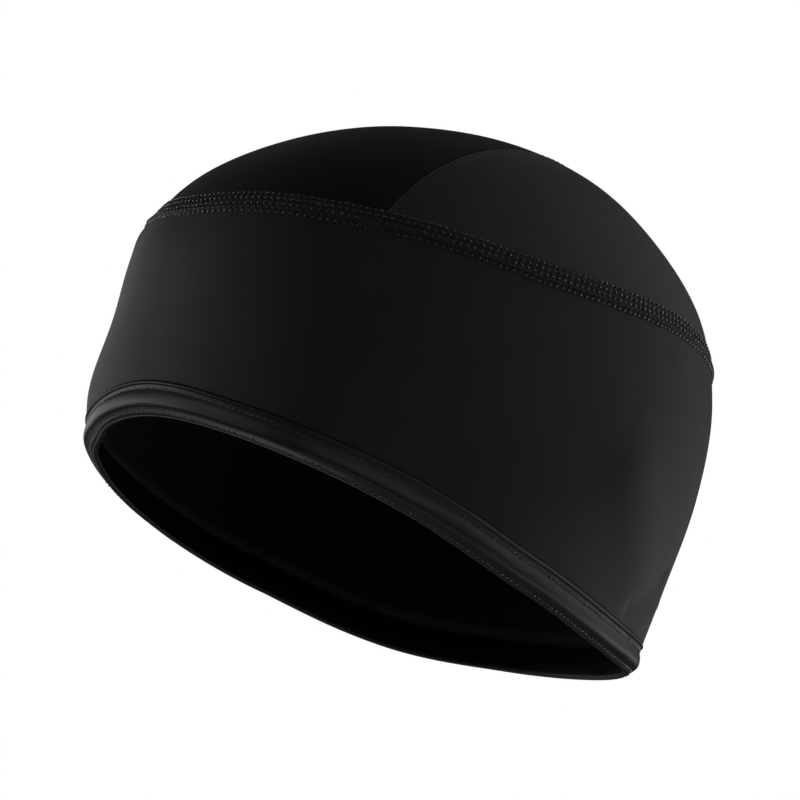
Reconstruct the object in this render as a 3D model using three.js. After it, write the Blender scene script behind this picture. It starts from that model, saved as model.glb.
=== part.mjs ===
// Helmet liner cap of thin stretch cloth, open below, in the form it takes on a head.
// Millimetres, +Z up, the forehead toward -Y, the wearer's left toward +X.
// The origin is the inside top of the crown.
import * as THREE from "three";

// Sizes of the whole cap, measured on the outside
const CAP_WIDTH = 166;
const CAP_LENGTH = 192;
const CAP_HEIGHT = 168;
const CLOTH = 1.4;
const GAP = 0.3;

// Sizes of the seams and the hem
const CROWN_SEAM_WIDTH = 8;
const CROWN_SEAM_RISE = 0.7;
const PANEL_SEAM_WIDTH = 2.2;
const PANEL_SEAM_RISE = 0.3;
const HEM_HEIGHT = 10;
const HEM_RELIEF = 1.2;
const HEM_THICKNESS = 2.2;

// How square a level section is: 2 is an ellipse
const SQUARENESS = 2.2;

// How finely the pieces are faceted
const STATIONS_ROUND = 96;
const ROWS_BAND = 8;
const ROWS_PANEL = 22;
const COLUMNS_CENTRE = 12;
const COLUMNS_SIDE = 8;

// Level sections from the crown down, one row for each eighth of the way.
// down is a share of CAP_HEIGHT, side of half CAP_WIDTH, front and back of half CAP_LENGTH.
const SECTIONS = [
  { down: 0.024, side: 0.332, front: 0.323, back: 0.352 },
  { down: 0.095, side: 0.613, front: 0.629, back: 0.643 },
  { down: 0.205, side: 0.802, front: 0.814, back: 0.861 },
  { down: 0.345, side: 0.934, front: 0.881, back: 1.018 },
  { down: 0.506, side: 1.005, front: 0.955, back: 1.038 },
  { down: 0.673, side: 0.959, front: 0.959, back: 0.981 },
  { down: 0.839, side: 0.835, front: 0.978, back: 0.881 },
  { down: 1.000, side: 0.712, front: 0.993, back: 0.772 },
];

// Cut lines around the head, one row for each 30 degrees from the forehead to the nape.
// seam is the middle of the crown seam and hem the lower edge, as shares of the way down.
const CUTS = [
  { seam: 0.327, hem: 0.643 },
  { seam: 0.334, hem: 0.679 },
  { seam: 0.379, hem: 0.771 },
  { seam: 0.449, hem: 0.884 },
  { seam: 0.510, hem: 0.964 },
  { seam: 0.579, hem: 0.996 },
  { seam: 0.619, hem: 1.005 },
];

// Left panel seam on the cap's flat map, from the forehead to the nape.
// back and side are shares of the way down, counted from the crown's middle.
const PANEL_SEAM = [
  { back: -0.36, side: 0.362 },
  { back: -0.20, side: 0.298 },
  { back: -0.04, side: 0.224 },
  { back: 0.12, side: 0.148 },
  { back: 0.28, side: 0.096 },
  { back: 0.44, side: 0.076 },
  { back: 0.60, side: 0.072 },
  { back: 0.76, side: 0.072 },
];

// Outer side of the hem from its top edge to its lower edge.
// fall is a share of HEM_HEIGHT, out a share of HEM_RELIEF beyond the cloth.
const HEM_OUTSIDE = [
  { fall: 0.00, out: 0.40 },
  { fall: 0.06, out: 0.65 },
  { fall: 0.16, out: 0.45 },
  { fall: 0.26, out: -0.05 },
  { fall: 0.40, out: 0.70 },
  { fall: 0.58, out: 1.00 },
  { fall: 0.78, out: 0.70 },
  { fall: 0.92, out: -0.05 },
  { fall: 1.00, out: -0.95 },
];

// Inner side of the hem, lower edge to top edge, in shares of HEM_THICKNESS inward
const HEM_INSIDE = [
  { fall: 0.97, out: -0.85 },
  { fall: 0.80, out: -1.00 },
  { fall: 0.40, out: -1.00 },
  { fall: 0.00, out: -0.80 },
];

// Outer side of the crown seam across its width.
// across is a share of CROWN_SEAM_WIDTH from its middle, out a share of CROWN_SEAM_RISE.
const CROWN_SEAM_OUTSIDE = [
  { across: -0.50, out: 0.25 },
  { across: -0.36, out: 0.90 },
  { across: 0.00, out: 1.00 },
  { across: 0.36, out: 0.90 },
  { across: 0.50, out: 0.25 },
];

// Creases pressed into the cloth, each a straight line between two points of the flat map.
// depth is a share of CLOTH and width a share of CAP_WIDTH.
const CREASES = [
  { side: 0.58, back: 0.66, endSide: 0.76, endBack: 0.47, depth: 0.75, width: 0.024 },
];

// Value of a table column at a fractional row, joined by a smooth curve
function smoothColumn(valueAt, position, lastRow) {
  const row = Math.min(Math.max(Math.floor(position), 0), lastRow - 1);
  const t = position - row;
  const a = valueAt(row - 1);
  const b = valueAt(row);
  const c = valueAt(row + 1);
  const d = valueAt(row + 2);
  const slope = c - a;
  const bend = 2 * a - 5 * b + 4 * c - d;
  const twist = 3 * b - 3 * c + d - a;
  return b + 0.5 * t * (slope + t * (bend + t * twist));
}

// Section column: the crown's middle has zero reach, and the rows mirror through it
function sectionRow(name, row) {
  const last = SECTIONS.length;
  if (row < 0) {
    const mirror = name === "down" ? 1 : -1;
    return mirror * sectionRow(name, -row);
  }
  if (row === 0) {
    return 0;
  }
  if (row > last) {
    return 2 * SECTIONS[last - 1][name] - SECTIONS[last - 2][name];
  }
  return SECTIONS[row - 1][name];
}

function sectionShare(name, share) {
  const last = SECTIONS.length;
  return smoothColumn((row) => sectionRow(name, row), share * last, last);
}

// Cut line column: the rows mirror at the forehead and at the nape
function cutShare(name, angle) {
  const last = CUTS.length - 1;
  const turn = Math.abs(Math.atan2(Math.sin(angle), Math.cos(angle))) / Math.PI;
  const rowValue = (row) => {
    const folded = row < 0 ? -row : row > last ? 2 * last - row : row;
    return CUTS[folded][name];
  };
  return smoothColumn(rowValue, turn * last, last);
}

// How far to the side the panel seam lies at a place along the crown
function panelSeamSide(back) {
  const last = PANEL_SEAM.length - 1;
  const first = PANEL_SEAM[0].back;
  const step = (PANEL_SEAM[last].back - first) / last;
  const rowValue = (row) => {
    const held = Math.min(Math.max(row, 0), last);
    return PANEL_SEAM[held].side + (row - held) * (held === 0 ? PANEL_SEAM[1].side - PANEL_SEAM[0].side : 0);
  };
  return smoothColumn(rowValue, (back - first) / step, last);
}

// Smooth surface of the cap over its flat map.
// The distance from the map's middle is the share of the way down, its direction the direction on the head.
function smoothPoint(side, back) {
  const share = Math.hypot(side, back);
  const ahead = share > 1e-9 ? -back / share : 1;
  const beside = share > 1e-9 ? side / share : 0;
  const reach = ahead > 0 ? sectionShare("front", share) : sectionShare("back", share);
  const sum = Math.abs(ahead) ** SQUARENESS + Math.abs(beside) ** SQUARENESS;
  const round = sum ** (-1 / SQUARENESS);
  return new THREE.Vector3(
    0.5 * CAP_WIDTH * sectionShare("side", share) * beside * round,
    -0.5 * CAP_LENGTH * reach * ahead * round,
    CLOTH - CAP_HEIGHT * sectionShare("down", share),
  );
}

function outwardAt(side, back) {
  const h = 0.002;
  const acrossway = smoothPoint(side + h, back).sub(smoothPoint(side - h, back));
  const backway = smoothPoint(side, back + h).sub(smoothPoint(side, back - h));
  return acrossway.cross(backway).normalize();
}

// How far the creases press the cloth in at a point, the same on both sides of the head
function creaseDepth(side, back) {
  const here = smoothPoint(Math.abs(side), back);
  let depth = 0;
  for (const crease of CREASES) {
    const line = new THREE.Line3(
      smoothPoint(crease.side, crease.back),
      smoothPoint(crease.endSide, crease.endBack),
    );
    const nearest = line.closestPointToPoint(here, true, new THREE.Vector3());
    const away = nearest.distanceTo(here) / (crease.width * CAP_WIDTH);
    depth += crease.depth * CLOTH * Math.exp(-away * away);
  }
  return depth;
}

// Point of the cap at a place on the map, a distance outside the cloth's outer face
function capPoint(side, back, out) {
  const lift = out - creaseDepth(side, back);
  return smoothPoint(side, back).addScaledVector(outwardAt(side, back), lift);
}

function ringPoint(angle, share, out) {
  return capPoint(share * Math.sin(angle), -share * Math.cos(angle), out);
}

// Share of the way down after moving a distance down the cloth from another share
function lowerBy(angle, share, distance) {
  const h = 0.002;
  const side = Math.sin(angle);
  const back = -Math.cos(angle);
  const low = smoothPoint(side * (share + h), back * (share + h));
  const high = smoothPoint(side * (share - h), back * (share - h));
  return share + (distance * 2 * h) / low.distanceTo(high);
}

// Edges of the pieces that meet along the crown seam and the hem
function crownEdge(angle) {
  return lowerBy(angle, cutShare("seam", angle), -CROWN_SEAM_WIDTH / 2 - GAP);
}

function bandTop(angle) {
  return lowerBy(angle, cutShare("seam", angle), CROWN_SEAM_WIDTH / 2 + GAP);
}

function hemTop(angle) {
  return lowerBy(angle, cutShare("hem", angle), -HEM_HEIGHT);
}

function bandFoot(angle) {
  return lowerBy(angle, hemTop(angle), -GAP);
}

function geometryOf(points, triangles) {
  const flat = [];
  for (const p of points) {
    flat.push(p.x, p.y, p.z);
  }
  const geometry = new THREE.BufferGeometry();
  geometry.setAttribute("position", new THREE.Float32BufferAttribute(flat, 3));
  geometry.setIndex(triangles);
  geometry.computeVertexNormals();
  return geometry;
}

// Closed ring around the head: one loop of points at each station, joined to the next
function ringOf(loopAt) {
  const points = [];
  const triangles = [];
  const loops = [];
  for (let i = 0; i < STATIONS_ROUND; i += 1) {
    loops.push(loopAt((2 * Math.PI * i) / STATIONS_ROUND));
  }
  const size = loops[0].length;
  for (const loop of loops) {
    points.push(...loop);
  }
  for (let i = 0; i < STATIONS_ROUND; i += 1) {
    const next = (i + 1) % STATIONS_ROUND;
    for (let j = 0; j < size; j += 1) {
      const after = (j + 1) % size;
      const a = i * size + j;
      const b = i * size + after;
      const c = next * size + after;
      const d = next * size + j;
      triangles.push(a, b, c, a, c, d);
    }
  }
  return geometryOf(points, triangles);
}

// Closed sheet over a grid of map places, with a thickness.
// placeAt(row, column) gives the place and how far the outer face stands out there.
function sheetOf(rows, columns, placeAt, inward, hand) {
  const points = [];
  const triangles = [];
  const wide = columns + 1;
  const count = (rows + 1) * wide;
  for (const layer of [0, 1]) {
    for (let i = 0; i <= rows; i += 1) {
      for (let j = 0; j <= columns; j += 1) {
        const place = placeAt(i / rows, j / columns);
        const out = layer === 0 ? place.out : -inward;
        points.push(capPoint(hand * place.side, place.back, out));
      }
    }
  }
  const quad = (a, b, c, d) => {
    if (hand > 0) {
      triangles.push(a, b, c, a, c, d);
    } else {
      triangles.push(c, b, a, d, c, a);
    }
  };
  for (let i = 0; i < rows; i += 1) {
    for (let j = 0; j < columns; j += 1) {
      const a = i * wide + j;
      quad(a, a + 1, a + wide + 1, a + wide);
      quad(count + a + wide, count + a + wide + 1, count + a + 1, count + a);
    }
  }
  for (let i = 0; i < rows; i += 1) {
    const a = i * wide;
    const b = a + columns;
    quad(a, a + wide, count + a + wide, count + a);
    quad(b + wide, b, count + b, count + b + wide);
  }
  for (let j = 0; j < columns; j += 1) {
    const a = j;
    const b = rows * wide + j;
    quad(a + 1, a, count + a, count + a + 1);
    quad(b, b + 1, count + b + 1, count + b);
  }
  return geometryOf(points, triangles);
}

// Line along the crown beside the panel seam, a distance toward the wearer's side
function besideSeam(back, distance) {
  const h = 0.01;
  const side = panelSeamSide(back);
  const lean = (panelSeamSide(back + h) - panelSeamSide(back - h)) / (2 * h);
  const length = Math.hypot(1, lean);
  const acrossSide = 1 / length;
  const acrossBack = -lean / length;
  const near = smoothPoint(side - h * acrossSide, back - h * acrossBack);
  const far = smoothPoint(side + h * acrossSide, back + h * acrossBack);
  const reach = (distance * 2 * h) / near.distanceTo(far);
  return { side: side + reach * acrossSide, back: back + reach * acrossBack };
}

// Where a line along the crown crosses the crown's lower edge, searched from one end
function crossing(lineAt, inside, outside) {
  let low = inside;
  let high = outside;
  for (let i = 0; i < 40; i += 1) {
    const middle = 0.5 * (low + high);
    const place = lineAt(middle);
    const share = Math.hypot(place.side, place.back);
    if (share < crownEdge(Math.atan2(place.side, -place.back))) {
      low = middle;
    } else {
      high = middle;
    }
  }
  return low;
}

// Place along a front-to-back line of the crown, from one crossing of its edge to the other
function alongLine(lineAt, along) {
  const first = PANEL_SEAM[0].back;
  const last = PANEL_SEAM[PANEL_SEAM.length - 1].back;
  const front = crossing(lineAt, 0, first);
  const rear = crossing(lineAt, 0, last);
  return lineAt(front + (rear - front) * along);
}

function centrePanel() {
  const edge = -PANEL_SEAM_WIDTH / 2 - GAP;
  const placeAt = (along, across) => {
    const reach = 2 * across - 1;
    const lineAt = (back) => {
      const place = besideSeam(back, edge);
      return { side: reach * place.side, back: place.back };
    };
    const place = alongLine(lineAt, along);
    return { side: place.side, back: place.back, out: 0 };
  };
  return sheetOf(ROWS_PANEL, COLUMNS_CENTRE, placeAt, CLOTH, -1);
}

function sidePanel(hand) {
  const edge = PANEL_SEAM_WIDTH / 2 + GAP;
  const lineAt = (back) => besideSeam(back, edge);
  const start = alongLine(lineAt, 0);
  const finish = alongLine(lineAt, 1);
  const startAngle = Math.atan2(start.side, -start.back);
  const finishAngle = Math.atan2(finish.side, -finish.back);
  const placeAt = (along, across) => {
    const held = 0.012 + 0.976 * along;
    const inner = alongLine(lineAt, held);
    const angle = startAngle + (finishAngle - startAngle) * held;
    const share = crownEdge(angle);
    const outerSide = share * Math.sin(angle);
    const outerBack = -share * Math.cos(angle);
    return {
      side: inner.side + (outerSide - inner.side) * across,
      back: inner.back + (outerBack - inner.back) * across,
      out: 0,
    };
  };
  return sheetOf(ROWS_PANEL, COLUMNS_SIDE, placeAt, CLOTH, -hand);
}

function panelSeam(hand) {
  const placeAt = (along, across) => {
    const distance = (across - 0.5) * PANEL_SEAM_WIDTH;
    const place = alongLine((back) => besideSeam(back, distance), along);
    const crest = 1 - Math.abs(2 * across - 1);
    return { side: place.side, back: place.back, out: PANEL_SEAM_RISE * (0.3 + 0.7 * crest) };
  };
  return sheetOf(ROWS_PANEL, 4, placeAt, CLOTH, -hand);
}

function crownSeam() {
  return ringOf((angle) => {
    const middle = cutShare("seam", angle);
    const loop = [];
    for (const row of CROWN_SEAM_OUTSIDE) {
      const share = lowerBy(angle, middle, row.across * CROWN_SEAM_WIDTH);
      loop.push(ringPoint(angle, share, row.out * CROWN_SEAM_RISE));
    }
    loop.push(ringPoint(angle, lowerBy(angle, middle, CROWN_SEAM_WIDTH / 2), -CLOTH));
    loop.push(ringPoint(angle, lowerBy(angle, middle, -CROWN_SEAM_WIDTH / 2), -CLOTH));
    return loop;
  });
}

function sideBand() {
  return ringOf((angle) => {
    const top = bandTop(angle);
    const foot = bandFoot(angle);
    const loop = [];
    for (let i = 0; i <= ROWS_BAND; i += 1) {
      loop.push(ringPoint(angle, top + ((foot - top) * i) / ROWS_BAND, 0));
    }
    for (let i = ROWS_BAND; i >= 0; i -= 1) {
      loop.push(ringPoint(angle, top + ((foot - top) * i) / ROWS_BAND, -CLOTH));
    }
    return loop;
  });
}

function hemBand() {
  return ringOf((angle) => {
    const top = hemTop(angle);
    const loop = [];
    for (const row of HEM_OUTSIDE) {
      const share = lowerBy(angle, top, row.fall * HEM_HEIGHT);
      loop.push(ringPoint(angle, share, row.out * HEM_RELIEF));
    }
    for (const row of HEM_INSIDE) {
      const share = lowerBy(angle, top, row.fall * HEM_HEIGHT);
      loop.push(ringPoint(angle, share, row.out * HEM_THICKNESS));
    }
    return loop;
  });
}

function piece(name, geometry, color, roughness) {
  const material = new THREE.MeshStandardMaterial({ color, roughness, metalness: 0 });
  const mesh = new THREE.Mesh(geometry, material);
  mesh.name = name;
  return mesh;
}

const cap = new THREE.Group();
cap.name = "helmet_liner_cap";
cap.add(piece("crown_centre_panel", centrePanel(), 0x151517, 0.85));
cap.add(piece("crown_side_panel_left", sidePanel(1), 0x1c1c1f, 0.8));
cap.add(piece("crown_side_panel_right", sidePanel(-1), 0x1c1c1f, 0.8));
cap.add(piece("panel_seam_left", panelSeam(1), 0x222225, 0.75));
cap.add(piece("panel_seam_right", panelSeam(-1), 0x222225, 0.75));
cap.add(piece("crown_seam", crownSeam(), 0x17171a, 0.7));
cap.add(piece("side_band", sideBand(), 0x1b1b1e, 0.8));
cap.add(piece("hem_band", hemBand(), 0x1a1a1c, 0.7));

export default cap;
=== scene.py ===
import math
import bpy
import numpy as np
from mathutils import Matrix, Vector


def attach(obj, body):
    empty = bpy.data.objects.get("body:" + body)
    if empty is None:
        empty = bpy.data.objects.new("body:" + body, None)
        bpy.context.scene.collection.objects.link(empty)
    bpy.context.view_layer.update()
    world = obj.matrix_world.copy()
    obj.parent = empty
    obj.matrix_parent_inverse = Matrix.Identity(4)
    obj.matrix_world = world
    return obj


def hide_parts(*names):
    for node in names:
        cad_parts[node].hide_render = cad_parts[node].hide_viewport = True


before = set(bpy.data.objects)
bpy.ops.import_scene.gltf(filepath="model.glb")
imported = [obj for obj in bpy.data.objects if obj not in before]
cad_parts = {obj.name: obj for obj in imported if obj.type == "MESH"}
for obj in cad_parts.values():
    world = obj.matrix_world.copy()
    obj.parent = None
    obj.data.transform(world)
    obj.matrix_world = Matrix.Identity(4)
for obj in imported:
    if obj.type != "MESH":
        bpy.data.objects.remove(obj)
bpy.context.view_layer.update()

MM = 0.001

# Sizes of the whole cap, measured on the outside
CAP_WIDTH = 166 * MM
CAP_LENGTH = 192 * MM
CAP_HEIGHT = 168 * MM
CLOTH = 1.4 * MM
GAP = 0.05 * MM
HEAD_MIDDLE = (0, 0, -70 * MM)

# Widths of the seams, and the exponent of the level sections, where 2 is an ellipse
CROWN_SEAM_WIDTH = 8 * MM
PANEL_SEAM_WIDTH = 2.2 * MM
SQUARENESS = 2.2

# Level sections from the crown down, one row for each eighth of the way.
# down is a share of CAP_HEIGHT, side of half CAP_WIDTH, front and back of half CAP_LENGTH.
SECTIONS = {
    "down": [0.024, 0.095, 0.205, 0.345, 0.506, 0.673, 0.839, 1.000],
    "side": [0.332, 0.613, 0.802, 0.934, 1.005, 0.959, 0.835, 0.712],
    "front": [0.323, 0.629, 0.814, 0.881, 0.955, 0.959, 0.978, 0.993],
    "back": [0.352, 0.643, 0.861, 1.018, 1.038, 0.981, 0.881, 0.772],
}

# Cut lines around the head, one value for each 30 degrees from the forehead to the nape
CUTS = {
    "seam": [0.327, 0.334, 0.379, 0.449, 0.510, 0.579, 0.619],
    "hem": [0.643, 0.679, 0.771, 0.884, 0.964, 0.996, 1.005],
}

# Height of the hem in mm, at the same angles
HEM_HEIGHTS = [10.8, 10.2, 11.5, 12.0, 10.6, 10.0, 10.4]

# Left panel seam on the flat map, from the forehead to the nape
PANEL_BACK_FIRST = -0.36
PANEL_BACK_STEP = 0.16
PANEL_SIDE = [0.362, 0.298, 0.224, 0.148, 0.096, 0.076, 0.072, 0.072]
PANEL_ENDS = (PANEL_BACK_FIRST, PANEL_BACK_FIRST + PANEL_BACK_STEP * (len(PANEL_SIDE) - 1))

# Creases on both sides of the cap: ends on the flat map, depth in thicknesses of the cloth (below zero
# where it stands out), and width as a share of CAP_WIDTH
CREASES = [
    {"start": (0.62, 0.59), "end": (0.78, 0.43), "depth": 0.80, "width": 0.019},
    {"start": (0.60, 0.66), "end": (0.765, 0.53), "depth": -0.42, "width": 0.013},
    {"start": (0.69, 0.22), "end": (0.745, 0.40), "depth": -0.95, "width": 0.070},
    {"start": (0.262, -0.203), "end": (0.228, -0.155), "depth": 0.16, "width": 0.007},
    {"start": (0.240, -0.212), "end": (0.214, -0.170), "depth": 0.10, "width": 0.006},
]

# Places on one side where the cloth stands out or is drawn in: middle on the flat map, rise, and reach
# as a share of CAP_WIDTH
SWELLS = [
    {"middle": (-0.32, -0.51), "rise": 1.3 * MM, "reach": 0.085},
    {"middle": (-0.28, -0.63), "rise": -1.4 * MM, "reach": 0.055},
    {"middle": (-0.20, -0.31), "rise": 0.9 * MM, "reach": 0.030},
    {"middle": (0.425, -0.535), "rise": 1.5 * MM, "reach": 0.085},
]

# Steps on the flat map over which slopes are taken, and the points along a ring line that is measured
SLOPE_STEP = 0.002
SEAM_SLOPE_STEP = 0.01
LINE_POINTS = 4001

# Distances below these count as none: on the flat map, of a vector, and of a thread's bow
MAP_TINY = 1e-9
VECTOR_TINY = 1e-12
BOW_TINY = 1e-6


def with_ends(rows, mirror):
    """Section rows with the crown's middle before them and one guessed row past each end."""
    return np.array([mirror * rows[0], 0.0] + rows + [2 * rows[-1] - rows[-2]])


SECTION_ROWS = {name: with_ends(rows, 1 if name == "down" else -1) for name, rows in SECTIONS.items()}
PANEL_ROWS = np.array([2 * PANEL_SIDE[0] - PANEL_SIDE[1]] + PANEL_SIDE + [PANEL_SIDE[-1]])


def smooth_rows(rows, position):
    """Value at a fractional row, joined by a smooth curve. rows has one extra row at each end."""
    row = np.clip(np.floor(position).astype(int), 0, len(rows) - 4)
    t = position - row
    a, b, c, d = rows[row], rows[row + 1], rows[row + 2], rows[row + 3]
    return b + 0.5 * t * (c - a + t * (2 * a - 5 * b + 4 * c - d + t * (3 * b - 3 * c + d - a)))


def section(name, share):
    return smooth_rows(SECTION_ROWS[name], share * len(SECTIONS["down"]))


def around(values, angle):
    """Value at an angle from a table of equal steps from the forehead to the nape."""
    turn = np.abs(np.arctan2(np.sin(angle), np.cos(angle))) / math.pi
    rows = np.array([values[1]] + values + [values[-2]])
    return smooth_rows(rows, turn * (len(values) - 1))


def cut_share(name, angle):
    return around(CUTS[name], angle)


def panel_seam_side(back):
    return smooth_rows(PANEL_ROWS, (back - PANEL_BACK_FIRST) / PANEL_BACK_STEP)


def smooth_point(side, back):
    """Smooth surface of the cap over its flat map. A place's distance from the map's middle is its share
    of the way down, and its direction is the one on the head."""
    side, back = np.broadcast_arrays(np.asarray(side, float), np.asarray(back, float))
    share = np.hypot(side, back)
    safe = np.maximum(share, MAP_TINY)
    ahead = np.where(share > MAP_TINY, -back / safe, 1.0)
    beside = np.where(share > MAP_TINY, side / safe, 0.0)
    reach = np.where(ahead > 0, section("front", share), section("back", share))
    rounding = (np.abs(ahead) ** SQUARENESS + np.abs(beside) ** SQUARENESS) ** (-1 / SQUARENESS)
    x = 0.5 * CAP_WIDTH * section("side", share) * beside * rounding
    y = -0.5 * CAP_LENGTH * reach * ahead * rounding
    z = CLOTH - CAP_HEIGHT * section("down", share)
    return np.stack([x, y, z], -1)


def unit(v):
    return v / np.maximum(np.linalg.norm(v, axis=-1, keepdims=True), VECTOR_TINY)


def outward(side, back):
    across = smooth_point(side + SLOPE_STEP, back) - smooth_point(side - SLOPE_STEP, back)
    along = smooth_point(side, back + SLOPE_STEP) - smooth_point(side, back - SLOPE_STEP)
    return unit(np.cross(across, along))


def hump(place, middle, reach):
    return np.exp(-(((place - middle) / reach) ** 2))


def crease_depth(side, back):
    here = smooth_point(np.abs(side), back)
    depth = np.zeros(here.shape[:-1])
    for crease in CREASES:
        start = smooth_point(*crease["start"])
        line = smooth_point(*crease["end"]) - start
        t = np.clip(((here - start) @ line) / (line @ line), 0, 1)
        away = np.linalg.norm(here - start - t[..., None] * line, axis=-1)
        depth += crease["depth"] * CLOTH * hump(away, 0, crease["width"] * CAP_WIDTH)
    return depth


def swell_rise(side, back):
    here = smooth_point(side, back)
    rise = np.zeros(here.shape[:-1])
    for swell in SWELLS:
        away = np.linalg.norm(here - smooth_point(*swell["middle"]), axis=-1)
        rise += swell["rise"] * hump(away, 0, swell["reach"] * CAP_WIDTH)
    return rise


def cap_point(side, back, out):
    lift = out - crease_depth(side, back) + swell_rise(side, back)
    return smooth_point(side, back) + outward(side, back) * lift[..., None]


def ring_point(angle, share, out):
    angle, share, out = np.broadcast_arrays(angle, share, out)
    return cap_point(share * np.sin(angle), -share * np.cos(angle), out)


def lower_by(angle, share, distance):
    """Share of the way down after moving a distance down the cloth."""
    side, back = np.sin(angle), -np.cos(angle)
    low = smooth_point(side * (share + SLOPE_STEP), back * (share + SLOPE_STEP))
    high = smooth_point(side * (share - SLOPE_STEP), back * (share - SLOPE_STEP))
    return share + distance * 2 * SLOPE_STEP / np.linalg.norm(low - high, axis=-1)


def seam_share(angle, across):
    return lower_by(angle, cut_share("seam", angle), across)


def crown_edge(angle):
    return seam_share(angle, -CROWN_SEAM_WIDTH / 2 - GAP)


def band_top(angle):
    return seam_share(angle, CROWN_SEAM_WIDTH / 2 + GAP)


def hem_height(angle):
    return around(HEM_HEIGHTS, angle) * MM


def hem_top(angle):
    return lower_by(angle, cut_share("hem", angle), -hem_height(angle))


def hem_share(angle, fall):
    return lower_by(angle, hem_top(angle), fall * hem_height(angle))


def band_foot(angle):
    return lower_by(angle, hem_top(angle), -GAP)


def even_angles(share_at, count):
    """Angles that divide a ring line into equal lengths, and the line's length."""
    fine = np.linspace(-math.pi, math.pi, LINE_POINTS)
    line = ring_point(fine, share_at(fine), np.zeros_like(fine))
    gone = np.concatenate([[0], np.cumsum(np.linalg.norm(np.diff(line, axis=0), axis=1))])
    return np.interp(np.arange(count) * gone[-1] / count, gone, fine), gone[-1]


def edged(edge, count):
    """Shares from 0 to 1: those of edge at both ends, and count even ones from the last of edge on."""
    edge = np.array(edge)
    return np.concatenate([edge[:-1], np.linspace(edge[-1], 1 - edge[-1], count), 1 - edge[-2::-1]])


def closed(values):
    return np.concatenate([values, values[:1]])


# Mesh building


def add_mesh(name, points, faces, uvs, material, node=None):
    """Smooth mesh of quads that rides on the cap. uvs has one texture corner for each face corner."""
    mesh = bpy.data.meshes.new(name)
    mesh.vertices.add(len(points))
    mesh.vertices.foreach_set("co", np.asarray(points, np.float32).ravel())
    mesh.loops.add(faces.size)
    mesh.loops.foreach_set("vertex_index", faces.astype(np.int32).ravel())
    mesh.polygons.add(len(faces))
    mesh.polygons.foreach_set("loop_start", np.arange(0, faces.size, faces.shape[1], dtype=np.int32))
    mesh.update(calc_edges=True)
    layer = mesh.uv_layers.new(name="cloth")
    layer.data.foreach_set("uv", np.asarray(uvs, np.float32).ravel())
    mesh.polygons.foreach_set("use_smooth", np.ones(len(faces), bool))
    mesh.materials.append(material)
    mesh.validate()
    piece = bpy.data.objects.new(name, mesh)
    bpy.context.scene.collection.objects.link(piece)
    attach(piece, "root")
    if node:
        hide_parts(node)
    return piece


def grid_faces(rows, columns, ring):
    """Quads over rows of closed loops, and the row and column of each corner, for the texture map.
    In a ring the last row joins the first."""
    i, j = np.meshgrid(np.arange(rows if ring else rows - 1), np.arange(columns), indexing="ij")
    i, j = i.ravel(), j.ravel()
    ci = np.stack([i, i, i + 1, i + 1], 1)
    cj = np.stack([j, j + 1, j + 1, j], 1)
    return (ci % rows) * columns + cj % columns, ci, cj


def ring_piece(name, points, material, node, length, drops):
    """Closed ring around the head. length and drops give the texture map of its corners."""
    rows, columns = points.shape[:2]
    faces, ci, cj = grid_faces(rows, columns, True)
    uvs = np.stack([ci * (length / rows), closed(drops)[cj]], -1)
    return add_mesh(name, points.reshape(-1, 3), faces, uvs.reshape(-1, 2), material, node)


def sheet_piece(name, points, material, node, step_along, drops, hand):
    """Closed sheet of loops that go out over the outside and back under it, with flat ends.
    hand is 1 where the loops run clockwise seen from the row after them, and -1 where they don't."""
    rows, columns = points.shape[:2]
    faces, ci, cj = grid_faces(rows, columns, False)
    uvs = np.stack([ci * step_along, closed(drops)[cj]], -1)
    half = columns // 2
    j = np.arange(half - 1)
    ends = []
    for row, turn in ((0, 1), (rows - 1, -1)):
        cap = row * columns + np.stack([j, columns - 1 - j, columns - 2 - j, j + 1], 1)
        ends.append(cap[:, ::turn])
    faces = np.concatenate([faces] + ends)
    uvs = np.concatenate([uvs, np.zeros((2 * (half - 1), 4, 2))])
    if hand > 0:
        faces, uvs = faces[:, ::-1], uvs[:, ::-1]
    return add_mesh(name, points.reshape(-1, 3), faces, uvs.reshape(-1, 2), material, node)


def thread_piece(name, paths, radius, material, sides=6, uneven=0.0):
    """Many short threads with closed ends as one piece. paths has the shape threads, points, 3. sides is
    even. radius is one number or one for each point. uneven varies it from thread to thread."""
    count, steps = paths.shape[:2]
    girth = 1 + uneven * np.random.default_rng(count).uniform(-1, 1, count)
    tangent = unit(np.gradient(paths, axis=1))
    chord = unit(paths[:, -1] - paths[:, 0])
    bow = paths[:, steps // 2] - 0.5 * (paths[:, 0] + paths[:, -1])
    bowed = np.linalg.norm(bow, axis=1, keepdims=True) > BOW_TINY
    away = np.where(bowed, bow, paths[:, 0] - HEAD_MIDDLE)
    side = unit(np.cross(chord, unit(away)))[:, None]
    up = unit(np.cross(side, tangent))
    side = unit(np.cross(tangent, up))
    radius = np.broadcast_to(np.asarray(radius, float), (steps,))
    turn = np.arange(sides) * 2 * math.pi / sides
    ring = side[:, :, None] * np.cos(turn)[:, None] + up[:, :, None] * np.sin(turn)[:, None]
    points = paths[:, :, None] + ring * radius[None, :, None, None] * girth[:, None, None, None]
    faces, ci, cj = grid_faces(steps, sides, False)
    fan = np.arange(1, sides - 2, 2)[:, None] * [0, 1, 1, 1] + [0, 0, 1, 2]
    faces = np.concatenate([faces[:, ::-1], fan, (steps - 1) * sides + fan[:, ::-1]])
    uvs = np.stack([ci[:, ::-1] / steps, cj[:, ::-1] / sides], -1)
    uvs = np.concatenate([uvs, np.zeros((2 * len(fan), 4, 2))])
    all_faces = (np.arange(count) * steps * sides)[:, None, None] + faces[None]
    uvs = np.broadcast_to(uvs, (count,) + uvs.shape)
    return add_mesh(name, points.reshape(-1, 3), all_faces.reshape(-1, 4), uvs.reshape(-1, 2), material)


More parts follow.
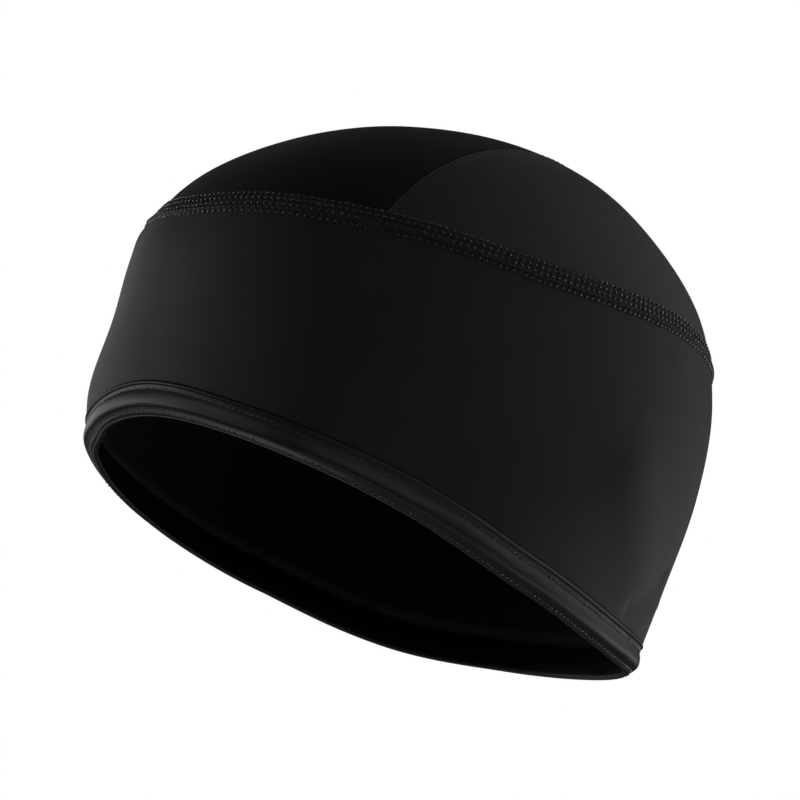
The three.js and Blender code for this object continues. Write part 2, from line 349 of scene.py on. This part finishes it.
# Materials. Scales of noise are in cycles per metre.

PATCH_SCALE, PATCH_SPREAD = 38, 0.18
FIBRE_SCALE, FIBRE_SPREAD = 2600, 0.1
FIBRE_HEIGHT = 0.8
COURSE_PITCH, COURSE_HEIGHT = 0.8, 0.5
KNIT_RELIEF = 0.06 * MM
THREAD_SCALE, THREAD_SPREAD = 700, 0.5
THREAD_TURNS, THREAD_PLIES = 4, 3
THREAD_BUMP, THREAD_RELIEF = 0.4, 0.05 * MM
GLINT_FACING = (0.18, 0.50)
SHEEN_ROUGHNESS = 0.4
SHEEN_TINT = (0.8, 0.82, 0.9, 1)
NOISE_RANGE = (0.3, 0.7)


def add_node(tree, kind, inputs, **settings):
    """Adds a node. inputs gives each input a value, or another node's output to link."""
    node = tree.nodes.new(kind)
    for key, value in settings.items():
        setattr(node, key, value)
    for key, value in inputs.items():
        connect(tree, value, node.inputs[key])
    return node


def connect(tree, value, socket):
    if isinstance(value, bpy.types.NodeSocket):
        tree.links.new(value, socket)
    else:
        socket.default_value = value


def new_material(name, colour, roughness, sheen=0.0, specular=0.5):
    material = bpy.data.materials.new(name)
    material.use_nodes = True
    shader = material.node_tree.nodes["Principled BSDF"]
    shader.inputs["Base Color"].default_value = (*colour, 1)
    shader.inputs["Roughness"].default_value = roughness
    shader.inputs["Specular IOR Level"].default_value = specular
    shader.inputs["Sheen Weight"].default_value = sheen
    shader.inputs["Sheen Roughness"].default_value = SHEEN_ROUGHNESS
    shader.inputs["Sheen Tint"].default_value = SHEEN_TINT
    return material, material.node_tree, shader


def math_node(tree, operation, *values):
    return add_node(tree, "ShaderNodeMath", dict(enumerate(values)), operation=operation).outputs[0]


def noise(tree, scale, detail=2):
    place = add_node(tree, "ShaderNodeTexCoord", {})
    inputs = {"Vector": place.outputs["Object"], "Scale": scale, "Detail": detail}
    return add_node(tree, "ShaderNodeTexNoise", inputs).outputs[0]


def mapped(tree, value, from_range, to_range=(0, 1)):
    inputs = {"Value": value, "From Min": from_range[0], "From Max": from_range[1]}
    inputs.update({"To Min": to_range[0], "To Max": to_range[1]})
    return add_node(tree, "ShaderNodeMapRange", inputs).outputs[0]


def varied(tree, value, spread):
    """Turns a noise, which seldom leaves NOISE_RANGE, into a factor around 1."""
    return mapped(tree, value, NOISE_RANGE, (1 - spread, 1 + spread))


def texture_axes(tree):
    uv = add_node(tree, "ShaderNodeUVMap", {}, uv_map="cloth")
    split = add_node(tree, "ShaderNodeSeparateXYZ", {"Vector": uv.outputs["UV"]})
    return split.outputs["X"], split.outputs["Y"]


def paint(tree, colour, tone):
    inputs = {0: colour, "Scale": tone}
    return add_node(tree, "ShaderNodeVectorMath", inputs, operation="SCALE").outputs["Vector"]


def emboss(tree, shader, height, strength, distance):
    inputs = {"Strength": strength, "Distance": distance, "Height": height}
    relief = add_node(tree, "ShaderNodeBump", inputs)
    tree.links.new(relief.outputs["Normal"], shader.inputs["Normal"])


def knit(name, colour, roughness, sheen, specular, gauge=0.40 * MM, bump=0.25, spread=0.0):
    """Fine stretch knit: small ribs down the cloth and courses across it, with slow patches of tone.
    spread draws its shine out along the piece, as ribs across it do."""
    material, tree, shader = new_material(name, colour, roughness, sheen, specular)
    if spread:
        shader.inputs["Anisotropic"].default_value = spread
        grain = add_node(tree, "ShaderNodeTangent", {}, direction_type="UV_MAP", uv_map="cloth")
        tree.links.new(grain.outputs["Tangent"], shader.inputs["Tangent"])
    along, down = texture_axes(tree)

    def wave(source, pitch):
        return math_node(tree, "SINE", math_node(tree, "MULTIPLY", source, 2 * math.pi / pitch))

    ribs, courses = wave(along, gauge), wave(down, gauge * COURSE_PITCH)
    weave = math_node(tree, "MULTIPLY_ADD", courses, COURSE_HEIGHT, ribs)
    patches = varied(tree, noise(tree, PATCH_SCALE, detail=3), PATCH_SPREAD)
    fibre = noise(tree, FIBRE_SCALE)
    tone = math_node(tree, "MULTIPLY", patches, varied(tree, fibre, FIBRE_SPREAD))
    tree.links.new(paint(tree, colour, tone), shader.inputs["Base Color"])
    relief = math_node(tree, "MULTIPLY_ADD", fibre, FIBRE_HEIGHT, weave)
    emboss(tree, shader, relief, bump, KNIT_RELIEF)
    return material


def thread(name, colour, roughness, specular, glint):
    """Twisted sewing thread: fine slanted plies along its length. glint is its mirror tone where it is
    seen at a glancing angle."""
    material, tree, shader = new_material(name, colour, roughness, specular=specular)
    along, about = texture_axes(tree)
    slant = math_node(tree, "MULTIPLY_ADD", along, THREAD_TURNS, about)
    plies = math_node(tree, "SINE", math_node(tree, "MULTIPLY", slant, THREAD_PLIES * 2 * math.pi))
    base = paint(tree, colour, varied(tree, noise(tree, THREAD_SCALE), THREAD_SPREAD))
    facing = add_node(tree, "ShaderNodeLayerWeight", {}).outputs["Facing"]
    glance = mapped(tree, facing, GLINT_FACING)
    inputs = {"Factor": glance, "A": base, "B": (glint, glint, glint, 1)}
    shine = add_node(tree, "ShaderNodeMix", inputs, data_type="RGBA").outputs["Result"]
    tree.links.new(shine, shader.inputs["Base Color"])
    tree.links.new(glance, shader.inputs["Metallic"])
    emboss(tree, shader, plies, THREAD_BUMP, THREAD_RELIEF)
    return material


CENTRE_CLOTH = knit("centre_cloth", (0.0072, 0.0073, 0.0073), roughness=0.75, sheen=0.09, specular=0.22)
SIDE_CLOTH = knit("side_cloth", (0.016, 0.0157, 0.0200), roughness=0.6, sheen=0.16, specular=0.35)
CROWN_SIDE_CLOTH = knit(
    "crown_side_cloth", (0.021, 0.021, 0.0235), roughness=0.6, sheen=0.21, specular=0.45
)
SEAM_CLOTH = knit(
    "seam_cloth", (0.0048, 0.0048, 0.0054), roughness=0.55, sheen=0.15, specular=0.40, bump=0.5
)
HEM_CLOTH = knit(
    "hem_cloth",
    (0.0045, 0.0045, 0.0049),
    roughness=0.41,
    sheen=0.03,
    specular=0.62,
    gauge=0.62 * MM,
    bump=0.35,
    spread=0.55,
)
NEEDLE_THREAD = thread(
    "needle_thread", (0.007, 0.007, 0.008), roughness=0.20, specular=0.20, glint=0.80
)
COVER_THREAD = thread("cover_thread", (0.006, 0.006, 0.007), roughness=0.45, specular=0.30, glint=0.05)
HEM_THREAD = thread("hem_thread", (0.018, 0.018, 0.019), roughness=0.24, specular=0.80, glint=0.58)
PANEL_THREAD = thread("panel_thread", (0.030, 0.030, 0.031), roughness=0.32, specular=0.70, glint=0.20)


# Profiles across the pieces. Each row gives the place across and how far it stands out.


def smooth_profile(table, count):
    """Resamples a short profile table to count smooth rows."""
    table = np.array(table)
    rows = np.vstack([2 * table[0] - table[1], table, 2 * table[-1] - table[-2]])
    position = np.linspace(0, len(table) - 1, count)
    return np.stack([smooth_rows(rows[:, k], position) for k in range(2)], -1)


# Side band: outside from top to foot, edges turned in, then the inside back up

BAND_STATIONS = 720
BAND_EDGE = [0, 0.004, 0.01, 0.02, 0.035, 0.05]
BAND_ROWS = 46
BAND_INNER_ROWS = 16
BAND_TEXTURE_HEIGHT = 0.1
BAND_TUCK_TOP, BAND_TUCK_FOOT = 0.05 * MM, 0.06 * MM
BAND_TUCK_REACH = 0.008


def band_piece():
    angles, length = even_angles(lambda a: 0.5 * (band_top(a) + band_foot(a)), BAND_STATIONS)
    top, foot = band_top(angles)[:, None], band_foot(angles)[:, None]
    fall = edged(BAND_EDGE, BAND_ROWS)
    deepest = np.where(fall < 0.5, BAND_TUCK_TOP, BAND_TUCK_FOOT)
    tuck = deepest * np.clip(1 - np.minimum(fall, 1 - fall) / BAND_TUCK_REACH, 0, 1) ** 2
    falls = np.concatenate([fall, np.linspace(1, 0, BAND_INNER_ROWS)])
    outs = np.concatenate([-tuck, np.full(BAND_INNER_ROWS, -CLOTH)])
    points = ring_point(angles[:, None], top + (foot - top) * falls, outs)
    drops = falls * BAND_TEXTURE_HEIGHT
    return ring_piece("side_band_cloth", points, SIDE_CLOTH, "side_band", length, drops)


# Crown seam: four rows of stitches over a flat felled ridge. At the left ear each row is shifted from the
# one before it by SEAM_SLIP of a stitch, and each wobbles a little.

SEAM_ROWS = [-3.5 * MM, -1.35 * MM, 0.78 * MM, 3.5 * MM]
SEAM_STITCH = 2.15 * MM
SEAM_SLIP = 0.37
SEAM_WOBBLE, SEAM_WOBBLE_TIMES = 0.06, 11
SEAM_STATIONS = 1320
SEAM_PROFILE_ROWS = 52

# Profile of the crown seam in mm: places across its inside, and across its outside with their heights
SEAM_INNER = [4, 2, 0, -2, -4]
SEAM_OUTSIDE = [
    (-4.00, -0.10),
    (-3.85, 0.03),
    (-3.50, 0.14),
    (-3.10, 0.30),
    (-2.40, 0.44),
    (-1.75, 0.38),
    (-1.35, 0.28),
    (-0.90, 0.40),
    (-0.30, 0.46),
    (0.35, 0.40),
    (0.78, 0.28),
    (1.20, 0.46),
    (1.70, 0.80),
    (2.15, 0.92),
    (2.60, 0.68),
    (3.10, 0.26),
    (3.50, 0.12),
    (3.85, 0.02),
    (4.00, -0.05),
]
SEAM_STITCH_TAPER = np.array([0.12, 0.22, 0.28, 0.31, 0.31, 0.28, 0.22, 0.12]) * MM
SEAM_STITCH_REACH = 0.23
SEAM_STITCH_WANDER, SEAM_WANDER_TIMES = 0.10 * MM, 37
SEAM_RIPPLE = 0.03 * MM
SEAM_RIPPLE_REACH, SEAM_RIPPLE_FADE = 4.2 * MM, 0.4
STITCH_RISE, STITCH_SINK = 0.26 * MM, 0.12 * MM

# Cover threads cross from the first row of stitches to the last. Each lean and start is in stitches.
COVER_RADIUS = 0.11 * MM
COVER_LIFT = 0.02 * MM
COVER_POINTS = 22
COVER_LEANS = [(0.55, 0.0), (-0.55, 0.5)]
COVER_BENDS = 3


def seam_out(across):
    table = np.array(SEAM_OUTSIDE) * MM
    return np.interp(across, table[:, 0], table[:, 1])


def crown_seam_pieces():
    angles, length = even_angles(lambda a: cut_share("seam", a), SEAM_STATIONS)
    count = round(length / SEAM_STITCH)
    profile = smooth_profile(SEAM_OUTSIDE, SEAM_PROFILE_ROWS) * MM
    inner = np.array(SEAM_INNER) * MM
    across = np.concatenate([profile[:, 0], inner])
    outs = np.concatenate([profile[:, 1], np.full(len(inner), -CLOTH)])
    phase = np.arange(SEAM_STATIONS) / SEAM_STATIONS * count
    ripple = SEAM_RIPPLE * np.cos(2 * math.pi * phase)[:, None]
    weight = np.clip(1 - np.abs(profile[:, 0]) / SEAM_RIPPLE_REACH, 0, 1) ** SEAM_RIPPLE_FADE
    outs = outs + ripple * np.concatenate([weight, np.zeros(len(inner))])
    points = ring_point(angles[:, None], seam_share(angles[:, None], across), outs)
    made = [ring_piece("crown_seam_cloth", points, SEAM_CLOTH, "crown_seam", length, across)]

    starts, _ = even_angles(lambda a: cut_share("seam", a), count)
    pitch_angle = np.gradient(np.unwrap(starts))
    t = np.linspace(-1, 1, len(SEAM_STITCH_TAPER))
    rows = []
    for k, row in enumerate(SEAM_ROWS):
        wobble = SEAM_WOBBLE * np.sin(starts * SEAM_WOBBLE_TIMES + 2 * k)
        middle = starts + (k * SEAM_SLIP * np.sin(starts) + wobble) * pitch_angle
        angle = middle[:, None] + SEAM_STITCH_REACH * pitch_angle[:, None] * t
        lift = seam_out(row) + STITCH_RISE * (1 - t**2) - STITCH_SINK
        wander = SEAM_STITCH_WANDER * np.sin(starts * SEAM_WANDER_TIMES + k)[:, None] + 0 * t
        rows.append(ring_point(angle, seam_share(angle, row + wander), lift + 0 * angle))
    name, paths = "crown_seam_stitches", np.concatenate(rows)
    made.append(thread_piece(name, paths, SEAM_STITCH_TAPER, NEEDLE_THREAD, sides=8, uneven=0.25))

    t = np.linspace(0, 1, COVER_POINTS)
    across = SEAM_ROWS[0] + (SEAM_ROWS[-1] - SEAM_ROWS[0]) * t
    out = seam_out(across) + COVER_LIFT
    rows = []
    for lean, start in COVER_LEANS:
        zigzag = pitch_angle[:, None] * lean * np.sin(math.pi * COVER_BENDS * t) * 0.5
        angle = (starts + start * pitch_angle)[:, None] + zigzag
        rows.append(ring_point(angle, seam_share(angle, across), out + 0 * angle))
    name, paths = "crown_seam_cover_threads", np.concatenate(rows)
    made.append(thread_piece(name, paths, COVER_RADIUS, COVER_THREAD))
    return made


# Hem: turned edge with a raised lip, a sunken row of stitches, a full roll and a stitched foot.
# Places down it are shares of its height, and heights over the cloth are in mm.

HEM_PITCH = 2.15 * MM
HEM_STATIONS = 1500
HEM_TEXTURE_HEIGHT = 10 * MM
HEM_OUTSIDE_ROWS = 52
HEM_INSIDE_ROWS = 12
HEM_OUTSIDE = [
    (0.000, -0.04),
    (0.012, 0.10),
    (0.030, 0.25),
    (0.050, 0.40),
    (0.072, 0.48),
    (0.092, 0.42),
    (0.112, 0.24),
    (0.140, 0.07),
    (0.180, -0.02),
    (0.215, -0.10),
    (0.250, -0.08),
    (0.290, 0.18),
    (0.340, 0.50),
    (0.395, 0.78),
    (0.450, 1.00),
    (0.505, 1.17),
    (0.560, 1.28),
    (0.615, 1.32),
    (0.670, 1.22),
    (0.730, 0.94),
    (0.790, 0.50),
    (0.845, 0.00),
    (0.890, -0.42),
    (0.930, -0.66),
    (0.962, -0.82),
    (0.984, -1.04),
    (0.996, -1.40),
    (1.000, -1.95),
]
HEM_INSIDE = [
    (0.985, -2.35),
    (0.940, -2.65),
    (0.800, -2.70),
    (0.500, -2.50),
    (0.200, -2.15),
    (0.020, -1.80),
    (0.000, -1.30),
]
HEM_STITCH_ROWS = [
    {"fall": 0.226, "base": -0.08, "rise": 0.28},
    {"fall": 0.885, "base": -0.36, "rise": 0.30},
]
HEM_STITCH_TAPER = np.array([0.10, 0.17, 0.20, 0.22, 0.22, 0.20, 0.17, 0.10]) * MM
HEM_STITCH_REACH = 0.24
HEM_STITCH_SINK = 0.10
HEM_STITCH_UNEVEN = 0.20

# Puckers of the outside at each stitch, and slow waves a few times around the head
HEM_PUCKERS = [
    {"height": 0.10, "phase": 0, "middle": 0.225, "reach": 0.035},
    {"height": 0.05, "phase": 1, "middle": 0.90, "reach": 0.06},
]
HEM_WAVES = [
    {"height": 0.10, "times": 9, "phase": 1, "middle": 0.55, "reach": 0.20},
    {"height": 0.05, "times": 23, "phase": 2, "middle": 0.50, "reach": 0.25},
]


def hem_pieces():
    angles, length = even_angles(lambda a: hem_share(a, 0.5), HEM_STATIONS)
    count = round(length / HEM_PITCH)
    outer = smooth_profile(HEM_OUTSIDE, HEM_OUTSIDE_ROWS)
    inner = smooth_profile(HEM_INSIDE, HEM_INSIDE_ROWS)
    falls, heights = np.vstack([outer, inner]).T
    outside = np.arange(len(falls)) < len(outer)
    stitch_phase = 2 * math.pi * np.arange(HEM_STATIONS) / HEM_STATIONS * count
    for pucker in HEM_PUCKERS:
        weight = hump(falls, pucker["middle"], pucker["reach"]) * outside
        heights = heights + pucker["height"] * np.cos(stitch_phase + pucker["phase"])[:, None] * weight
    for wave in HEM_WAVES:
        turn = np.sin(angles * wave["times"] + wave["phase"])[:, None]
        heights = heights + wave["height"] * turn * hump(falls, wave["middle"], wave["reach"])
    points = ring_point(angles[:, None], hem_share(angles[:, None], falls), heights * MM)
    drops = falls * HEM_TEXTURE_HEIGHT
    made = [ring_piece("hem_band_cloth", points, HEM_CLOTH, "hem_band", length, drops)]

    starts, _ = even_angles(lambda a: hem_share(a, 0.5), count)
    starts = starts + 0.5 * np.gradient(np.unwrap(starts))
    pitch_angle = np.gradient(np.unwrap(starts))
    t = np.linspace(-1, 1, len(HEM_STITCH_TAPER))
    angle = starts[:, None] + HEM_STITCH_REACH * pitch_angle[:, None] * t
    rows = []
    for k, row in enumerate(HEM_STITCH_ROWS):
        sunk = HEM_STITCH_UNEVEN * np.random.default_rng(count + k).uniform(0, 1, count)[:, None]
        lift = (row["base"] + row["rise"] * (1 - t**2) - HEM_STITCH_SINK - sunk) * MM
        rows.append(ring_point(angle, hem_share(angle, row["fall"]), lift + 0 * angle))
    paths = np.concatenate(rows)
    made.append(thread_piece("hem_stitches", paths, HEM_STITCH_TAPER, HEM_THREAD, sides=8, uneven=0.3))
    return made


# Crown panels and the seams between them

PANEL_TUCK = 0.12 * MM
PANEL_TUCK_WIDTH = 0.7 * MM
HALVINGS = 32

# Rows and columns of the panels. length and texture are the size of a panel's texture map, and width is
# its own, by which its edges are turned in.
CENTRE_ROWS = 150
CENTRE_EDGE = [0, 0.003, 0.008, 0.015, 0.025]
CENTRE_COLUMNS = 56
CENTRE_SIZE = {"length": 0.2, "texture": 0.1, "width": 0.08}
SIDE_ROWS = 130
SIDE_EDGE = [0, 0.006, 0.015, 0.03, 0.05]
SIDE_COLUMNS = 36
SIDE_SIZE = {"length": 0.17, "texture": 0.06, "width": 0.045}
SIDE_END = 0.0012
PANEL_SEAM_ROWS = 150
PANEL_SEAM_ACROSS = np.array([-0.5, -0.4, -0.25, -0.1, 0, 0.1, 0.25, 0.4, 0.5])
PANEL_SEAM_RISE = np.array([-0.20, 0.04, 0.12, 0.06, 0.02, 0.04, 0.06, 0.02, -0.06]) * MM
PANEL_SEAM_LENGTH = 0.16
PANEL_STITCHES = 74
PANEL_STITCH_OFFSET = -0.5 * MM
PANEL_STITCH_REACH = 0.32
PANEL_STITCH_RISE = 0.24 * MM
PANEL_STITCH_TAPER = np.array([0.06, 0.11, 0.14, 0.15, 0.14, 0.11, 0.06]) * MM


def beside_seam(back, distance):
    """Place on the flat map at a distance from the left panel seam, below zero toward the middle."""
    side = panel_seam_side(back)
    h = SEAM_SLOPE_STEP
    lean = (panel_seam_side(back + h) - panel_seam_side(back - h)) / (2 * h)
    length = np.hypot(1, lean)
    across_side, across_back = 1 / length, -lean / length
    near = smooth_point(side - h * across_side, back - h * across_back)
    far = smooth_point(side + h * across_side, back + h * across_back)
    reach = distance * 2 * h / np.linalg.norm(far - near, axis=-1)
    return side + reach * across_side, back + reach * across_back


def crossing(line_at, outside, shape):
    """Where lines along the crown cross its lower edge, searched from the middle toward outside."""
    low, high = np.zeros(shape), np.full(shape, float(outside))
    for _ in range(HALVINGS):
        middle = 0.5 * (low + high)
        side, back = line_at(middle)
        inside = np.hypot(side, back) < crown_edge(np.arctan2(side, -back))
        low, high = np.where(inside, middle, low), np.where(inside, high, middle)
    return low


def along_line(line_at, along, shape):
    front = crossing(line_at, PANEL_ENDS[0], shape)
    rear = crossing(line_at, PANEL_ENDS[1], shape)
    return line_at(front + (rear - front) * along)


def panel_across(edge, count, width):
    """Shares across a panel, over its outside and back under it, and how far each stands out, with the
    panel's edges turned in."""
    over = edged(edge, count)
    to_edge = np.minimum(over, 1 - over) * width
    tuck = -PANEL_TUCK * np.clip(1 - to_edge / PANEL_TUCK_WIDTH, 0, 1) ** 2
    return np.concatenate([over, over[::-1]])[None], np.concatenate([tuck, np.full(len(over), -CLOTH)])


def centre_piece():
    along = np.linspace(0, 1, CENTRE_ROWS)[:, None]
    across, outs = panel_across(CENTRE_EDGE, CENTRE_COLUMNS, CENTRE_SIZE["width"])

    def line_at(back):
        side, back = beside_seam(back, -PANEL_SEAM_WIDTH / 2 - GAP)
        return (2 * across - 1) * side, back

    side, back = along_line(line_at, along, (CENTRE_ROWS, across.shape[1]))
    points = cap_point(side, back, outs + 0 * side)
    drops = across[0] * CENTRE_SIZE["texture"]
    step = CENTRE_SIZE["length"] / CENTRE_ROWS
    name, node = "crown_centre_cloth", "crown_centre_panel"
    return sheet_piece(name, points, CENTRE_CLOTH, node, step, drops, -1)


def side_piece(hand, name, node):
    held = (SIDE_END + (1 - 2 * SIDE_END) * np.linspace(0, 1, SIDE_ROWS))[:, None]
    across, outs = panel_across(SIDE_EDGE, SIDE_COLUMNS, SIDE_SIZE["width"])

    def line_at(back):
        return beside_seam(back, PANEL_SEAM_WIDTH / 2 + GAP)

    inner_side, inner_back = along_line(line_at, held, (SIDE_ROWS, 1))
    ends = [along_line(line_at, end, (1, 1)) for end in (0.0, 1.0)]
    first, last = (np.arctan2(s, -b).item() for s, b in ends)
    angle = first + (last - first) * held
    share = crown_edge(angle)
    side = inner_side + (share * np.sin(angle) - inner_side) * across
    back = inner_back + (-share * np.cos(angle) - inner_back) * across
    points = cap_point(hand * side, back, outs + 0 * side)
    drops = across[0] * SIDE_SIZE["texture"]
    step = SIDE_SIZE["length"] / SIDE_ROWS
    return sheet_piece(name, points, CROWN_SIDE_CLOTH, node, step, drops, -hand)


def panel_seam_pieces(hand, name, node):
    along = np.linspace(0, 1, PANEL_SEAM_ROWS)[:, None]
    across = np.concatenate([PANEL_SEAM_ACROSS, PANEL_SEAM_ACROSS[::-1]])[None] * PANEL_SEAM_WIDTH
    side, back = along_line(lambda b: beside_seam(b, across), along, (PANEL_SEAM_ROWS, across.shape[1]))
    outs = np.concatenate([PANEL_SEAM_RISE, np.full(len(PANEL_SEAM_RISE), -CLOTH)])
    points = cap_point(hand * side, back, outs + 0 * side)
    step = PANEL_SEAM_LENGTH / PANEL_SEAM_ROWS
    made = [sheet_piece(name + "_cloth", points, CROWN_SIDE_CLOTH, node, step, across[0], -hand)]

    t = np.linspace(-1, 1, len(PANEL_STITCH_TAPER))
    place = (0.5 + np.arange(PANEL_STITCHES)[:, None] + PANEL_STITCH_REACH * t) / PANEL_STITCHES
    side, back = along_line(lambda b: beside_seam(b, PANEL_STITCH_OFFSET), place, place.shape)
    lift = PANEL_STITCH_RISE * (1 - t**2) - STITCH_SINK + 0 * side
    paths = cap_point(hand * side, back, lift)
    made.append(thread_piece(name + "_stitches", paths, PANEL_STITCH_TAPER, PANEL_THREAD))
    return made


band = band_piece()
centre = centre_piece()
left_panel = side_piece(1, "crown_side_cloth_left", "crown_side_panel_left")
right_panel = side_piece(-1, "crown_side_cloth_right", "crown_side_panel_right")
seam_pieces = crown_seam_pieces()
hem = hem_pieces()
left_seam = panel_seam_pieces(1, "panel_seam_left", "panel_seam_left")
right_seam = panel_seam_pieces(-1, "panel_seam_right", "panel_seam_right")


def direction(azimuth, elevation):
    """Unit vector from degrees: azimuth from the forehead toward the left ear, and elevation."""
    a, e = math.radians(azimuth), math.radians(elevation)
    return Vector((math.sin(a) * math.cos(e), -math.cos(a) * math.cos(e), math.sin(e)))


# Camera at the photo's angle

VIEW_AZIMUTH, VIEW_ELEVATION, VIEW_DISTANCE = 53, -2, 1.3
MIDDLE = Vector((0, 0.005, -0.0736))
AIM_RIGHT, AIM_UP = -2.36 * MM, -7.45 * MM
PHOTO_SIZE = 800
PIXELS_PER_METRE = 3300
SENSOR_MM = 36
NEAREST, FARTHEST = 0.05, 50

back_way = direction(VIEW_AZIMUTH, VIEW_ELEVATION)
right_way = Vector((math.cos(math.radians(VIEW_AZIMUTH)), math.sin(math.radians(VIEW_AZIMUTH)), 0))
up_way = back_way.cross(right_way)
camera_data = bpy.data.cameras.new("camera")
camera = bpy.data.objects.new("camera", camera_data)
bpy.context.scene.collection.objects.link(camera)
camera.location = MIDDLE + back_way * VIEW_DISTANCE
aim = MIDDLE + right_way * AIM_RIGHT + up_way * AIM_UP
camera.rotation_mode = "QUATERNION"
camera.rotation_quaternion = (aim - camera.location).to_track_quat("-Z", "Y")
camera_data.sensor_width = SENSOR_MM
camera_data.lens = SENSOR_MM * VIEW_DISTANCE * PIXELS_PER_METRE / PHOTO_SIZE
camera_data.clip_start, camera_data.clip_end = NEAREST, FARTHEST
bpy.context.scene.camera = camera

# Pale floor where a standing wearer's feet would be, and soft studio light

FLOOR_HEIGHT = -1.8
FLOOR_REACH = 6.0
FLOOR_CORNERS = ((-1, -1), (1, -1), (1, 1), (-1, 1))
FLOOR_COLOUR = (0.9, 0.9, 0.9)
WHITE = (1, 1, 1, 1)
BACKDROP_STRENGTH = 1.0
SKY_STRENGTH = 0.008

floor_mesh = bpy.data.meshes.new("floor")
corners = [(x * FLOOR_REACH, y * FLOOR_REACH, FLOOR_HEIGHT) for x, y in FLOOR_CORNERS]
floor_mesh.from_pydata(corners, [], [(0, 1, 2, 3)])
floor = bpy.data.objects.new("floor", floor_mesh)
floor_material, floor_tree, floor_shader = new_material("floor", FLOOR_COLOUR, 0.9, specular=0.1)
floor_shader.inputs["Emission Color"].default_value = WHITE
floor_view = add_node(floor_tree, "ShaderNodeLightPath", {})
floor_tree.links.new(floor_view.outputs["Is Camera Ray"], floor_shader.inputs["Emission Strength"])
floor_mesh.materials.append(floor_material)
bpy.context.scene.collection.objects.link(floor)

# The surround is plain white where it is seen, and lights the cap only faintly
world = bpy.data.worlds.new("studio")
bpy.context.scene.world = world
world.use_nodes = True
sky = world.node_tree
backdrop = sky.nodes["Background"]
backdrop.inputs["Color"].default_value = WHITE
backdrop.inputs["Strength"].default_value = BACKDROP_STRENGTH
lighting = add_node(sky, "ShaderNodeBackground", {"Color": WHITE, "Strength": SKY_STRENGTH})
seen = add_node(sky, "ShaderNodeLightPath", {}).outputs["Is Camera Ray"]
shaders = {"Fac": seen, 1: lighting.outputs["Background"], 2: backdrop.outputs["Background"]}
chosen = add_node(sky, "ShaderNodeMixShader", shaders).outputs["Shader"]
sky.links.new(chosen, sky.nodes["World Output"].inputs["Surface"])
bpy.context.scene.view_settings.view_transform = "Standard"


# Softboxes around the cap: azimuth from the forehead toward the left ear, elevation, watts
LIGHTS = [
    (-100, 5, 1.04),
    (-75, 5, 1.29),
    (-70, -45, 1.30),
    (-50, 5, 1.18),
    (-50, 35, 0.44),
    (-25, 5, 0.39),
    (-25, 35, 0.99),
    (0, 5, 0.14),
    (45, -50, 0.55),
    (80, 5, 1.04),
    (80, 35, 0.61),
    (130, 5, 0.49),
    (140, -45, 0.80),
    (155, 5, 0.88),
    (155, 35, 0.42),
    (180, -25, 1.62),
    (180, 5, 0.63),
    (180, 35, 0.50),
]
LIGHT_DISTANCE = 1.3
LIGHT_SIZE = (0.45, 0.6)


def softbox(azimuth, elevation, watts):
    light = bpy.data.lights.new("softbox", "AREA")
    light.shape = "RECTANGLE"
    light.size, light.size_y = LIGHT_SIZE
    light.energy = watts
    lamp = bpy.data.objects.new("softbox", light)
    way = direction(azimuth, elevation)
    lamp.location = MIDDLE + way * LIGHT_DISTANCE
    lamp.rotation_mode = "QUATERNION"
    lamp.rotation_quaternion = (-way).to_track_quat("-Z", "Y")
    bpy.context.scene.collection.objects.link(lamp)


for light in LIGHTS:
    softbox(*light)
